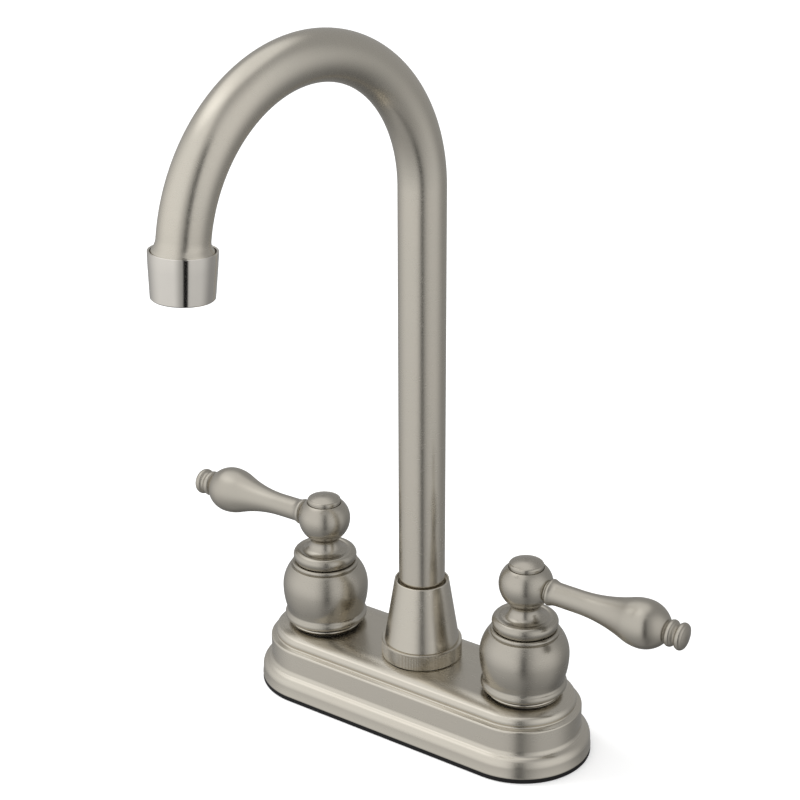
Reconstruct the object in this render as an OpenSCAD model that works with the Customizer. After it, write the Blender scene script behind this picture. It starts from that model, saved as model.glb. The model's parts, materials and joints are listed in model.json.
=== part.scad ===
// Gooseneck bar faucet with two turned lever handles on a four inch base.
// Deck plane at z = 0, spout axis on Z, user side towards -Y, hot side at -X.

/* [Base] */
// Distance between the hot and the cold shank
centre_d = 101.6; // [100:0.2:104]
// Overall length of the base
base_l = 157.3; // [154:0.1:164]
// Overall width of the base
base_w = 57.8; // [56:0.1:62]
// Wall of the cast base cover
cover_wall = 2; // [1.6:0.1:2.4]
// Thickness of the black deck gasket
gasket_t = 2; // [1:0.5:2]

/* [Spout] */
// Outside diameter of the spout tube
tube_d = 19.05; // [18.8:0.05:19.3]
// Wall of the spout tube
tube_wall = 1.2; // [1:0.1:1.4]
// Height of the centre of the bend over the deck
bend_z = 231; // [180:1:260]
// Radius of the bend at the centre of the tube
bend_r = 61; // [45:1:80]
// Sweep of the bend
bend_sweep = 176.6; // [165:0.1:180]
// Turn of the spout away from the middle, towards the hot side
spout_turn = 6.7; // [-20:0.1:20]
// Length of the aerator shell
aerator_l = 17.4; // [16:0.2:20]

/* [Spout foot] */
// Outside diameter of the knurled ring nut
nut_d = 33.7; // [33:0.1:35]
// Number of knurls round the ring nut
knurl_n = 90; // [60:1:110]
// Depth of a knurl
knurl_depth = 0.4; // [0.2:0.1:0.6]
// Height of the top of the cone sleeve over the deck
cone_top_z = 62.6; // [56:0.2:70]
// Radius of the cone sleeve at its foot
cone_foot_r = 15.6; // [15.2:0.1:16]
// Outside radius of the cone sleeve at its lip
cone_lip_r = 11.3; // [11.1:0.05:12]

/* [Handles] */
// Radius of the ball that holds the lever
ball_r = 11; // [10.6:0.1:11.4]
// Largest radius of the bell under the handle
bell_r = 18.25; // [18:0.05:18.8]
// Largest radius of the lever's bulb
bulb_r = 9.85; // [8.5:0.05:10.5]
// Radius of the lever's slim stem
stem_r = 4.75; // [4.2:0.05:5.2]
// Droop of the lever below level
lever_droop = 2; // [0:0.5:4]
// Turn of a closed lever towards the wall
lever_back = 2; // [0:0.5:6]

/* [Below the deck] */
// Thickness of the deck that the locknuts are set for
deck_t = 22; // [4:1:26]
// Length of the shanks below the deck
shank_l = 50; // [46:1:70]
// Outside diameter of the shank thread
shank_d = 20.6; // [20.4:0.1:20.8]

/* [Hidden] */
$fn = 96;
fine = 0.01;             // overlap that keeps cuts clean
half_d = centre_d / 2;
half_w = base_w / 2;
end_x = (base_l - base_w) / 2;
tube_r = tube_d / 2;
nut_r = nut_d / 2;
shank_r = shank_d / 2;

// base cover, heights over the deck
foot_h = 0.8;            // thick foot of the lip, on the gasket
lip_z = 6.2;             // top of the upright lip
lip_in = 0.25;           // how far the lip stands in from its foot
shoulder_r = 4.4;        // round shoulder above the lip
shoulder_a = 64;
cove_r = 2.5;            // hollow between the shoulder and the wall
flare = shoulder_r + cove_r;
wall_x = half_w - lip_in - flare * (1 - cos(shoulder_a));
cove_z = lip_z + flare * sin(shoulder_a);
ledge_z = 20.6;          // top of the wall, where the narrow ledge rounds over
ledge_r = 0.8;
ledge_a = 70;
edge_r = 2.7;            // rolled edge of the raised top
edge_x = wall_x - 4.9;
edge_z = 23.43;
edge_under = 20;         // how far the roll turns under itself
groove_r = 0.5;          // groove between the roll and the ledge
crown_r = 17.5;          // soft fall of the top towards the roll
crown_a = 65;
crown_x = edge_x + (edge_r - crown_r) * cos(crown_a);
crown_z = edge_z + (edge_r - crown_r) * sin(crown_a);
cover_top = crown_z + crown_r;
cover_under = cover_top - cover_wall;
body_top = cover_under - 0.2; // shoulders of the bodies, clear of the crowned cover

// spout hub and what turns in it
port_z = 12.5;           // height of the cross tubes
port_r = 3.9;
cross_r = 5;             // outside of a cross tube
socket_l = 2.5;          // how far a cross tube enters a body
boss_r = 6.6;            // round boss that a cross tube enters
boss_l = 1;
hub_low = 5;
hub_r = 13.6;
well_z = 8;              // floor of the hub's bore
neck_r = 12;             // threaded neck of the spout hub
neck_top = cover_top + 6.6;
bore_r = 8.5;            // bore that the spout foot turns in
foot_gap = 0.06;         // running clearance of the spout foot
foot_low = 18;           // lower end of the spout foot
foot_z = neck_top + 0.9; // underside of the foot's flange
flange_t = 1;
tube_z = foot_z + flange_t;
spigot_l = 9;            // part of the foot inside the tube
foot_bore = 5.8;
oring_z = [foot_low + 3, foot_low + 9];
oring_r = 0.9;
oring_mid = bore_r - 0.05 - oring_r;
groove_floor = oring_mid - oring_r;
nut_z = cover_top + 0.9;
nut_h = 6.4;
nut_top = nut_z + nut_h;
lip_bore = tube_r + 0.6;
rim_r = 13.3;            // low rim of the nut that centres the cone
rim_h = 3.5;
cone_wall = 0.8;

// valve, heights over the deck
barrel_r = 12.5;
barrel_z = gasket_t + 1;
spigot_r = 9;            // end of the shank soldered into the body
collar_r = 10.5;         // threaded neck through the cover
collar_top = cover_top + 4;
chamber_r = 8.5;
chamber_z = 8;
socket_z = chamber_z - 2;
seat_r = 5;
inlet_r = 7;
disc_r = 6.7;
seal_top = chamber_z + 2.2;
fixed_top = seal_top + 2.6;
turning_z = fixed_top + 0.1;
turning_top = turning_z + 2.2;
drive_top = turning_top + 3;
spindle_r = 4.4;
spindle_gap = 0.06;      // running clearance of the spindle
spline_r = 3.95;
spline_top = 67.8;
gland_z = 42;            // height of the spindle's O-ring
gland_r = 0.7;
screw_r = 1.75;
screw_head_r = 4.2;
screw_af = 3;
cover_nut_af = 23.6;
cover_nut_t = 3.2;
cartridge_af = 20;
gland_top_r = 8.6;       // upper neck of the cartridge, inside the bell
cartridge_head = 4;
window_w = 6;            // side windows that let the water out of the cartridge
window_h = 2.4;
window_z = turning_top + 1.4;

// handle, heights over the deck
bell_mid = 44.5;         // height of the bell's widest place
bell_up_r = 15.7;        // arc above it
bell_low_r = 33;         // arc below it
bell_foot = cover_top + 1.8;
bell_top = 55.9;
bell_wall = 1.5;
bead_r = 1.9;            // bead round the bell's foot
bead_x = bell_r - 2.55;
bead_mid = bell_foot + bead_r;
bead_a = 45;             // where the bead meets the hollow above it
hollow_r = 1.5;
skirt_r = bell_r - 4.5;  // inside of the foot
bell_ring_r = 14.3;      // black ring that the bell sits on
bell_ring_in = 13.8;
waist_z = 35.2;
hub_z = bell_top + 0.5;
collar_bend = 2.6;       // rounded rim of the hub's foot
collar_mid = hub_z + collar_bend;
collar_x = 10.9;
collar_a = 123;          // where the rim meets the flare above it
spline_bore = spline_r + 0.05;
hub_neck_r = 6.2;
hub_neck_z = 66.6;
hub_flare_r = 6.2;       // hollow flare between the neck and the rim
hub_flare_a = 62;
ball_z = 76;
ball_top_r = 9.2;        // arc of the ball's upper half
seat_z = 83.2;           // flat that the index cap sits on
cap_r = 7.1;
plug_r = 5.9;
plug_z = 79.4;
cap_sink = 0.5;          // rebate that the cap's rim sits in
screw_low = hub_z + 3;
screw_seat = 76.2;
screw_head = 2.7;
lever_z = 75.6;

// lever, distances along it from the handle's axis
root_s = 9.8;            // flat on the ball that the lever seats on
root_r = 5.6;
root_l = 3.2;
root_round = 0.9;
root_fillet = 2.2;
stud_s = 5.6;
stud_r = 2.6;
swell_s = 24;            // where the stem starts to swell
swell_r = 64;            // hollow part of the swell
bulb_bend = 20;          // round part of the swell
swell_a = acos(1 - (bulb_r - stem_r) / (swell_r + bulb_bend));
bulb_s = swell_s + (swell_r + bulb_bend) * sin(swell_a);
nose_r = 11.9;           // arc that closes the bulb
finial_r = 5.45;         // bead past the bulb
finial_s = bulb_s + 9.7;
button_s = finial_s + 6; // round end button

// aerator, distances along the spout's end
bend_draw = 0.02;        // what the wall thins by in the bend, on each face
tail_l = 3;              // straight end of the tube
lip_s = 1.9;             // how far the shell reaches back over the bend
shell_end = aerator_l - lip_s;
shell_lip_r = tube_r + 2.75;
shell_end_r = tube_r + 1.85;
insert_r = tube_r + 0.6;
insert_s = 4.4;
insert_end = shell_end - 0.7;

// below the deck
washer_r = 19;
washer_t = 2;
locknut_af = 32;
locknut_t = 8;
inlet_l = 14.5;          // thread for the supply nut, above the end's bevel
relief_l = 1.5;          // turned relief between the two threads of a shank
relief_in = 0.7;
relief_z = 1 - shank_l + inlet_l;

nickel = [0.66, 0.63, 0.58];
polished = [0.8, 0.78, 0.74];
brass = [0.78, 0.63, 0.32];
steel = [0.72, 0.72, 0.72];
rubber = [0.06, 0.06, 0.06];
ceramic = [0.93, 0.92, 0.88];
nylon = [0.88, 0.88, 0.84];

// ---- shared shapes ----

// points of an arc about c, from angle a0 to angle a1
function arc(c, r, a0, a1, n) =
    [for (i = [0 : n]) let (a = a0 + (a1 - a0) * i / n) c + r * [cos(a), sin(a)]];

module turned(outline) {
    rotate_extrude() polygon(outline);
}

module ring(r_out, r_in, z0, z1) {
    difference() {
        translate([0, 0, z0]) cylinder(r = r_out, h = z1 - z0);
        bore(r_in, z0, z1);
    }
}

module bore(r, z0, z1) {
    translate([0, 0, z0 - fine]) cylinder(r = r, h = z1 - z0 + 2 * fine);
}

// round outline with straight teeth
module toothed(r, depth, teeth) {
    polygon([for (i = [0 : 2 * teeth - 1])
        (r - (i % 2) * depth) * [cos(180 * i / teeth), sin(180 * i / teeth)]]);
}

module torus(mid, r, z) {
    translate([0, 0, z]) rotate_extrude() translate([mid, 0]) circle(r = r);
}

module hex_prism(across_flats, z0, z1) {
    translate([0, 0, z0]) cylinder(d = across_flats / cos(30), h = z1 - z0, $fn = 6);
}

// hexagon with the turned bevel of a bar-stock nut on its upper face
module hex_nut(across_flats, z0, z1) {
    corner = across_flats / cos(30) / 2;
    intersection() {
        hex_prism(across_flats, z0, z1);
        turned([[0, z0], [corner + 1, z0], [corner + 1, z1 - 1.6],
            [across_flats / 2 - 0.4, z1], [0, z1]]);
    }
}

// sweeps a half section round the base's stadium plan
module round_base() {
    for (side = [-1, 1])
        translate([side * end_x, 0, 0])
            rotate([0, 0, side > 0 ? -90 : 90])
                rotate_extrude(angle = 180) children();
    translate([-end_x, 0, 0])
        rotate([90, 0, 90])
            linear_extrude(height = 2 * end_x) {
                children();
                mirror([1, 0]) children();
            }
}

// side is -1 for hot and 1 for cold
module at_valve(side) {
    translate([side * half_d, 0, 0]) children();
}

module at_lever(side) {
    at_valve(side)
        rotate([0, 0, side < 0 ? 180 - lever_back : lever_back])
            translate([0, 0, lever_z])
                rotate([0, 90 + lever_droop, 0]) children();
}

module turn_spout() {
    rotate([0, 0, -spout_turn]) children();
}

module at_bend() {
    translate([0, -bend_r, bend_z]) rotate([90, 0, 90]) children();
}

// z runs along the tube's end, out of the bend
module at_spout_end() {
    turn_spout()
        at_bend()
            rotate([0, 0, bend_sweep])
                translate([bend_r, 0, 0])
                    rotate([-90, 0, 0]) children();
}

// ---- base ----

// outline of the cover's flared side, drawn in by the given wall
function cover_side(wall) = concat(
    arc([half_w - lip_in - shoulder_r, lip_z], shoulder_r - wall, 0, shoulder_a, 6),
    arc([wall_x + cove_r, cove_z], cove_r + wall, 180 + shoulder_a, 180, 4));

// the rest of it, up to the middle of the top, from angle low on the roll
function cover_crown(wall, low) = concat(
    arc([edge_x, edge_z], edge_r - wall, low, crown_a, 8),
    arc([crown_x, crown_z], crown_r - wall, crown_a, 90, 5),
    [[0, cover_top - wall], [0, gasket_t]]);

function cover_outside() = concat(
    [[half_w, gasket_t], [half_w, gasket_t + foot_h]],
    cover_side(0),
    arc([wall_x - ledge_r, ledge_z], ledge_r, 0, ledge_a, 3),
    arc([edge_x, edge_z] + (edge_r + groove_r) * [cos(edge_under), -sin(edge_under)],
        groove_r, 180 + ledge_a, 180 - edge_under, 4),
    cover_crown(0, -edge_under));

function cover_inside() = concat(
    [[half_w - cover_wall, gasket_t]],
    cover_side(cover_wall),
    cover_crown(cover_wall, edge_under));

module base_cover() {
    color(nickel) difference() {
        round_base() difference() {
            polygon(cover_outside());
            translate([0, -fine]) polygon(cover_inside());
        }
        bore(neck_r + 0.3, body_top, cover_top);
        for (side = [-1, 1])
            at_valve(side) bore(collar_r + 0.3, body_top, cover_top);
    }
}

module deck_gasket() {
    color(rubber) linear_extrude(height = gasket_t) difference() {
        union() {
            square([2 * end_x, base_w], center = true);
            for (side = [-1, 1])
                translate([side * end_x, 0]) circle(r = half_w);
        }
        for (side = [-1, 1])
            translate([side * half_d, 0]) circle(r = shank_r + 0.5);
    }
}

// ---- waterway ----

// z runs level from a body's axis along the cross tubes, side is -1 or 1
module towards(side) {
    translate([0, 0, port_z]) rotate([0, 90 * side, 0]) children();
}

// water port with the socket for a cross tube, for a boss that ends at reach
module port(reach) {
    cylinder(r = port_r, h = reach + fine);
    translate([0, 0, reach - socket_l]) cylinder(r = cross_r, h = socket_l + fine);
}

module spout_hub() {
    color(brass) difference() {
        union() {
            turned([[0, hub_low], [hub_r - 1, hub_low], [hub_r, hub_low + 1], [hub_r, body_top],
                [neck_r, body_top], [neck_r, neck_top - 0.8], [neck_r - 0.8, neck_top],
                [0, neck_top]]);
            for (side = [-1, 1])
                towards(side) cylinder(r = boss_r, h = hub_r + boss_l);
        }
        bore(bore_r, well_z, neck_top);
        for (side = [-1, 1])
            towards(side) port(hub_r + boss_l);
    }
}

// inlet shank, soldered into the body's socket
module shank(side) {
    color(brass) at_valve(side) difference() {
        turned([[0, -shank_l], [shank_r - 1, -shank_l], [shank_r, 1 - shank_l],
            [shank_r, relief_z], [shank_r - relief_in, relief_z],
            [shank_r - relief_in, relief_z + relief_l], [shank_r, relief_z + relief_l],
            [shank_r, barrel_z], [spigot_r, barrel_z], [spigot_r, socket_z], [0, socket_z]]);
        bore(inlet_r, -shank_l, socket_z);
    }
}

module valve_body(side) {
    color(brass) at_valve(side) difference() {
        union() {
            turned([[0, barrel_z], [barrel_r, barrel_z], [barrel_r, body_top],
                [collar_r, body_top], [collar_r, collar_top], [0, collar_top]]);
            towards(-side) cylinder(r = boss_r, h = barrel_r + boss_l);
        }
        bore(spigot_r, barrel_z, socket_z);
        bore(seat_r, socket_z - fine, chamber_z + 1);
        bore(chamber_r, chamber_z, collar_top);
        towards(-side) port(barrel_r + boss_l);
    }
}

module cross_tube(side) {
    near = hub_r + boss_l - socket_l;
    far = half_d - barrel_r - boss_l + socket_l;
    color(brass) towards(side) ring(cross_r, port_r, near, far);
}

module cover_nut(side) {
    color(brass) at_valve(side) difference() {
        hex_nut(cover_nut_af, cover_top, cover_top + cover_nut_t);
        bore(collar_r, cover_top, cover_top + cover_nut_t);
    }
}

module deck_washer(side) {
    color(steel) at_valve(side)
        ring(washer_r, shank_r + 0.4, -deck_t - washer_t, -deck_t);
}

module locknut(side) {
    top = -deck_t - washer_t;
    color(brass) at_valve(side) difference() {
        mirror([0, 0, 1]) hex_nut(locknut_af, -top, locknut_t - top);
        bore(shank_r, top - locknut_t, top);
    }
}

// ---- cartridge ----

module cartridge(side) {
    neck_top_z = bell_top - 1;
    color(brass) at_valve(side) difference() {
        union() {
            turned([[0, seal_top], [chamber_r - 0.1, seal_top], [chamber_r - 0.1, collar_top],
                [gland_top_r, collar_top], [gland_top_r, neck_top_z], [0, neck_top_z]]);
            hex_prism(cartridge_af, collar_top, collar_top + cartridge_head);
        }
        bore(disc_r + 0.2, seal_top, drive_top + 0.1);
        bore(spindle_r + spindle_gap, drive_top, neck_top_z);
        for (turn = [0, 90])
            rotate([0, 0, turn]) translate([0, 0, window_z])
                cube([4 * chamber_r, window_w, window_h], center = true);
    }
}

module seat_seal(side) {
    color(rubber) at_valve(side) ring(inlet_r + 0.4, seat_r, chamber_z, seal_top);
}

module fixed_disc(side) {
    color(ceramic) at_valve(side) difference() {
        translate([0, 0, seal_top]) cylinder(r = disc_r, h = fixed_top - seal_top);
        disc_ports(seal_top, fixed_top);
    }
}

module turning_disc(side) {
    color(ceramic) at_valve(side) difference() {
        translate([0, 0, turning_z]) cylinder(r = disc_r, h = turning_top - turning_z);
        rotate([0, 0, 90]) disc_ports(turning_z, turning_top);
    }
}

module disc_ports(z0, z1) {
    for (place = [-1, 1])
        translate([place * disc_r * 0.52, 0, 0]) bore(disc_r * 0.33, z0, z1);
}

module stem(side) {
    color(brass) at_valve(side) difference() {
        union() {
            turned([[0, turning_top], [disc_r - 0.3, turning_top], [disc_r - 0.3, drive_top],
                [spindle_r, drive_top], [spindle_r, hub_z - 0.4],
                [spindle_r - 0.3, hub_z - 0.1], [0, hub_z - 0.1]]);
            translate([0, 0, hub_z - 1]) spline(spline_r, spline_top - hub_z + 1);
        }
        bore(screw_r, screw_low - 1, spline_top);
        ring(spindle_r + 1, spindle_r - 2 * gland_r, gland_z - gland_r, gland_z + gland_r);
    }
}

// splined drive, a row of straight teeth
module spline(r, h) {
    teeth = 20;
    linear_extrude(height = h) toothed(r, 0.4, teeth);
}

module stem_oring(side) {
    color(rubber) at_valve(side) torus(spindle_r + 0.03 - gland_r, gland_r, gland_z);
}

// ---- handle ----

function bell_outline() = concat(
    arc([bell_r - bell_up_r, bell_mid], bell_up_r, asin((bell_top - bell_mid) / bell_up_r), 0, 10),
    arc([bell_r - bell_low_r, bell_mid], bell_low_r, 0, -asin((bell_mid - waist_z) / bell_low_r), 6),
    arc([bead_x, bead_mid] + (bead_r + hollow_r) * [cos(bead_a), sin(bead_a)],
        hollow_r, 167, 180 + bead_a, 4),
    arc([bead_x, bead_mid], bead_r, bead_a, -90, 9));

module bell_ring(side) {
    color(rubber) at_valve(side) ring(bell_ring_r, bell_ring_in, cover_top, bell_foot);
}

module bell(side) {
    inside_r = bell_up_r - bell_wall;
    roof = bell_top - 3;
    color(nickel) at_valve(side) turned(concat(
        bell_outline(),
        [[skirt_r, bell_foot], [skirt_r, bead_mid + 3]],
        arc([bell_r - bell_up_r, bell_mid], inside_r, 0, asin((roof - bell_mid) / inside_r), 8),
        [[gland_top_r, roof], [gland_top_r, bell_top]]));
}

function hub_outline() = concat(
    [[spline_bore, hub_z]],
    arc([collar_x, collar_mid], collar_bend, -90, collar_a, 14),
    arc([hub_neck_r + hub_flare_r, hub_neck_z], hub_flare_r, 180 + hub_flare_a, 180, 8),
    arc([0, ball_z], ball_r, -acos(hub_neck_r / ball_r), 0, 12),
    arc([ball_r - ball_top_r, ball_z], ball_top_r, 0, asin((seat_z - ball_z) / ball_top_r), 8),
    [[cap_r + 0.15, seat_z], [cap_r + 0.15, seat_z - cap_sink], [plug_r + 0.1, seat_z - cap_sink],
        [plug_r + 0.1, plug_z - 0.4], [screw_head_r + 0.2, plug_z - 0.4],
        [screw_head_r + 0.2, screw_seat], [screw_r + 0.3, screw_seat],
        [screw_r + 0.3, spline_top], [spline_bore, spline_top]]);

module hub(side) {
    color(nickel) difference() {
        at_valve(side) turned(hub_outline());
        at_lever(side) {
            translate([0, 0, root_s]) cylinder(r = root_r + 0.1, h = ball_r);
            translate([0, 0, stud_s - 0.2]) cylinder(r = stud_r, h = ball_r);
        }
    }
}

function lever_outline() = concat(
    [[0, stud_s], [stud_r, stud_s], [stud_r, root_s], [root_r - 0.4, root_s]],
    arc([root_r - root_round, root_s + root_round], root_round, -60, 0, 3),
    arc([root_r - root_round, root_s + root_l - root_round], root_round, 0, 80, 4),
    arc([stem_r + root_fillet, root_s + root_l + root_fillet], root_fillet, 235, 180, 5),
    arc([stem_r + swell_r, swell_s], swell_r, 180, 180 - swell_a, 10),
    arc([bulb_r - bulb_bend, bulb_s], bulb_bend, -swell_a, 0, 8),
    arc([bulb_r - nose_r, bulb_s], nose_r, 4, 54, 12),
    [[finial_r - 0.9, finial_s + 0.4]],
    arc([finial_r - 1.5, finial_s + 2.2], 1.5, -62, 62, 8),
    [[finial_r - 1, finial_s + 4.2]],
    arc([finial_r - 1.4, button_s], 1.4, -62, 32, 7),
    arc([0, button_s - 2.1], 6.2, 54, 90, 7));

module lever(side) {
    color(nickel) at_lever(side) turned(lever_outline());
}

module screw(side) {
    head_top = screw_seat + screw_head;
    color(steel) at_valve(side) difference() {
        union() {
            translate([0, 0, screw_low]) cylinder(r = screw_r, h = screw_seat - screw_low);
            translate([0, 0, screw_seat]) cylinder(r = screw_head_r, h = screw_head);
        }
        hex_prism(screw_af, head_top - 1.6, head_top + fine);
    }
}

module cap(side) {
    color(nickel) at_valve(side) turned(concat(
        [[0, plug_z], [plug_r - 0.4, plug_z], [plug_r, plug_z + 0.4],
            [plug_r, seat_z - cap_sink], [cap_r, seat_z - cap_sink]],
        arc([cap_r - 0.7, seat_z + 1.5], 0.7, 0, 60, 5),
        arc([0, seat_z - 10.1], 13.6, 62.2, 90, 8)));
}

// ---- spout foot ----

module nut_washer() {
    color(rubber) ring(nut_r - 1.55, neck_r, cover_top, nut_z);
}

module spout_nut() {
    color(nickel) difference() {
        union() {
            turned([[0, nut_z], [nut_r - 1, nut_z], [nut_r - 0.5, nut_z + 0.5],
                [nut_r - 0.5, nut_top - 1.3], [nut_r, nut_top - 1], [nut_r, nut_top - 0.3],
                [nut_r - 0.3, nut_top], [rim_r, nut_top], [rim_r, nut_top + rim_h],
                [0, nut_top + rim_h]]);
            translate([0, 0, nut_z + 0.6]) linear_extrude(height = nut_h - 2.1)
                toothed(nut_r, knurl_depth, knurl_n);
        }
        bore(neck_r, nut_z, tube_z + 0.1);
        bore(lip_bore, nut_z, nut_top + rim_h);
    }
}

module spout_cone() {
    lip = cone_wall / 2;
    color(nickel) turned(concat(
        [[cone_foot_r - cone_wall, nut_top], [cone_foot_r, nut_top]],
        arc([cone_lip_r - lip, cone_top_z - lip], lip, 8, 180, 8)));
}

module glide_ring() {
    color(nylon) ring(neck_r - 0.5, bore_r + 0.7, neck_top, foot_z - 0.05);
}

module spout_foot() {
    color(brass) difference() {
        union() {
            translate([0, 0, foot_low]) cylinder(r = bore_r - foot_gap, h = foot_z - foot_low);
            translate([0, 0, foot_z]) cylinder(r = neck_r - 0.5, h = flange_t);
            translate([0, 0, tube_z]) cylinder(r = tube_r - tube_wall, h = spigot_l);
        }
        bore(foot_bore, foot_low, tube_z + spigot_l);
        for (z = oring_z)
            ring(bore_r + 1, groove_floor, z - oring_r, z + oring_r);
    }
}

module spout_orings() {
    color(rubber) for (z = oring_z)
        torus(oring_mid, oring_r, z);
}

// ---- spout ----

module spout_tube() {
    inside_r = tube_r - tube_wall;
    color(nickel) {
        turn_spout() {
            ring(tube_r, inside_r, tube_z, bend_z);
            at_bend() rotate_extrude(angle = bend_sweep)
                translate([bend_r, 0]) difference() {
                    circle(r = tube_r - bend_draw);
                    circle(r = inside_r + bend_draw);
                }
        }
        at_spout_end() ring(tube_r, inside_r, 0, tail_l);
    }
}

module aerator_shell() {
    color(polished) at_spout_end() turned(concat(
        [[tube_r, tail_l], [tube_r, -lip_s]],
        arc([shell_lip_r - 1.5, -lip_s + 1.5], 1.5, -80, 0, 6),
        [[shell_lip_r, 0.9], [shell_lip_r - 0.25, 1.6], [shell_end_r, shell_end - 0.4],
            [shell_end_r - 0.4, shell_end], [insert_r, shell_end], [insert_r, tail_l]]));
}

module aerator_washer() {
    color(rubber) at_spout_end()
        ring(insert_r - 0.1, tube_r - tube_wall - 0.6, tail_l, insert_s);
}

// flow straightener: a housing with rings and ribs across its mouth
module aerator_insert() {
    wall = 1.3;
    rib = 0.6;
    grille_end = insert_end - 0.6;
    grille = grille_end - 1.8;
    color(steel) at_spout_end() {
        ring(insert_r - 0.05, insert_r - wall, insert_s, insert_end);
        for (r = [2.4, 5.2])
            ring(r + rib / 2, r - rib / 2, grille, grille_end);
        difference() {
            for (turn = [0 : 45 : 135])
                rotate([0, 0, turn]) translate([0, 0, (grille + grille_end) / 2])
                    cube([2 * (insert_r - wall) + rib, rib, grille_end - grille], center = true);
            bore(2.4, grille, insert_end);
        }
    }
}

base_cover();
deck_gasket();
spout_hub();
nut_washer();
spout_nut();
spout_cone();
glide_ring();
spout_foot();
spout_orings();
spout_tube();
aerator_shell();
aerator_washer();
aerator_insert();

shank(-1);  // hot_shank
valve_body(-1);  // hot_body
cross_tube(-1);  // hot_cross_tube
cover_nut(-1);  // hot_cover_nut
cartridge(-1);  // hot_cartridge
seat_seal(-1);  // hot_seat_seal
fixed_disc(-1);  // hot_fixed_disc
turning_disc(-1);  // hot_turning_disc
stem(-1);  // hot_stem
stem_oring(-1);  // hot_stem_oring
bell_ring(-1);  // hot_bell_ring
bell(-1);  // hot_bell
hub(-1);  // hot_hub
lever(-1);  // hot_lever
screw(-1);  // hot_screw
cap(-1);  // hot_cap
deck_washer(-1);  // hot_deck_washer
locknut(-1);  // hot_locknut

shank(1);  // cold_shank
valve_body(1);  // cold_body
cross_tube(1);  // cold_cross_tube
cover_nut(1);  // cold_cover_nut
cartridge(1);  // cold_cartridge
seat_seal(1);  // cold_seat_seal
fixed_disc(1);  // cold_fixed_disc
turning_disc(1);  // cold_turning_disc
stem(1);  // cold_stem
stem_oring(1);  // cold_stem_oring
bell_ring(1);  // cold_bell_ring
bell(1);  // cold_bell
hub(1);  // cold_hub
lever(1);  // cold_lever
screw(1);  // cold_screw
cap(1);  // cold_cap
deck_washer(1);  // cold_deck_washer
locknut(1);  // cold_locknut
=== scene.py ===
import json
from math import acos, asin, atan2, ceil, cos, degrees, pi, radians, sin, tan
import bpy
import bmesh
from mathutils import Matrix, Vector


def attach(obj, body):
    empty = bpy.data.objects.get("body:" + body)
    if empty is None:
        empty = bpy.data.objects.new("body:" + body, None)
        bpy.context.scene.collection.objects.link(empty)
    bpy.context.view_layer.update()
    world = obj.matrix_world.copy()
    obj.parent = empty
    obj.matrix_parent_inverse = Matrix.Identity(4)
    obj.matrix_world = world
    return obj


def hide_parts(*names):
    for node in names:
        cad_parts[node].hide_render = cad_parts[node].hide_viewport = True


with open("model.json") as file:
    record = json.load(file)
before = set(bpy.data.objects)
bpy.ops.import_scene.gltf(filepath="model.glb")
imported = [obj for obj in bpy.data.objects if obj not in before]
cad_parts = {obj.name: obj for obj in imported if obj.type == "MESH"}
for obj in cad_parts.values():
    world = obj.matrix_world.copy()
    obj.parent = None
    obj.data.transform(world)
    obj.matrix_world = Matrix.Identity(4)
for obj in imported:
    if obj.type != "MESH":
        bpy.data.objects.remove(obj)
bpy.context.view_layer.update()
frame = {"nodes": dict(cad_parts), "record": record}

mm = 0.001  # the parts are given in millimetres, the stage in metres
sides = ((-1, "hot"), (1, "cold"))  # the sign is that of X


# metres, degrees and, for the lens, millimetres
viewpoint = {
    "place": (0.42988, -0.60842, 0.45813),
    "azimuth": 35.92,
    "lookDown": 22.955,
    "roll": -0.217,
    "lens": 91.22,
}


def makeCamera():
    data = bpy.data.cameras.new("productCamera")
    data.lens = viewpoint["lens"]
    data.sensor_width = 36
    data.clip_start = 0.01
    data.clip_end = 20
    camera = bpy.data.objects.new("productCamera", data)
    turn = Matrix.Rotation(radians(viewpoint["azimuth"]), 4, "Z")
    tilt = Matrix.Rotation(radians(90 - viewpoint["lookDown"]), 4, "X")
    roll = Matrix.Rotation(radians(viewpoint["roll"]), 4, "Z")
    camera.matrix_world = Matrix.Translation(viewpoint["place"]) @ turn @ tilt @ roll
    bpy.context.scene.collection.objects.link(camera)
    bpy.context.scene.camera = camera


makeCamera()
print("camera placed")


class Value:
    # wraps an output socket, so that sums on it become Math nodes
    def __init__(self, finish, socket):
        self.finish = finish
        self.socket = socket

    def maths(self, operation, other=0.0, turnedRound=False):
        pair = (other, self) if turnedRound else (self, other)
        return self.finish.node("ShaderNodeMath", {"operation": operation}, {0: pair[0], 1: pair[1]})

    def __add__(self, other):
        return self.maths("ADD", other)

    __radd__ = __add__

    def __sub__(self, other):
        return self.maths("SUBTRACT", other)

    def __rsub__(self, other):
        return self.maths("SUBTRACT", other, turnedRound=True)

    def __mul__(self, other):
        return self.maths("MULTIPLY", other)

    __rmul__ = __mul__

    def clamped(self):
        return self.maths("MAXIMUM", 0.0).maths("MINIMUM", 1.0)

    def size(self):
        return self.maths("ABSOLUTE")


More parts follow.
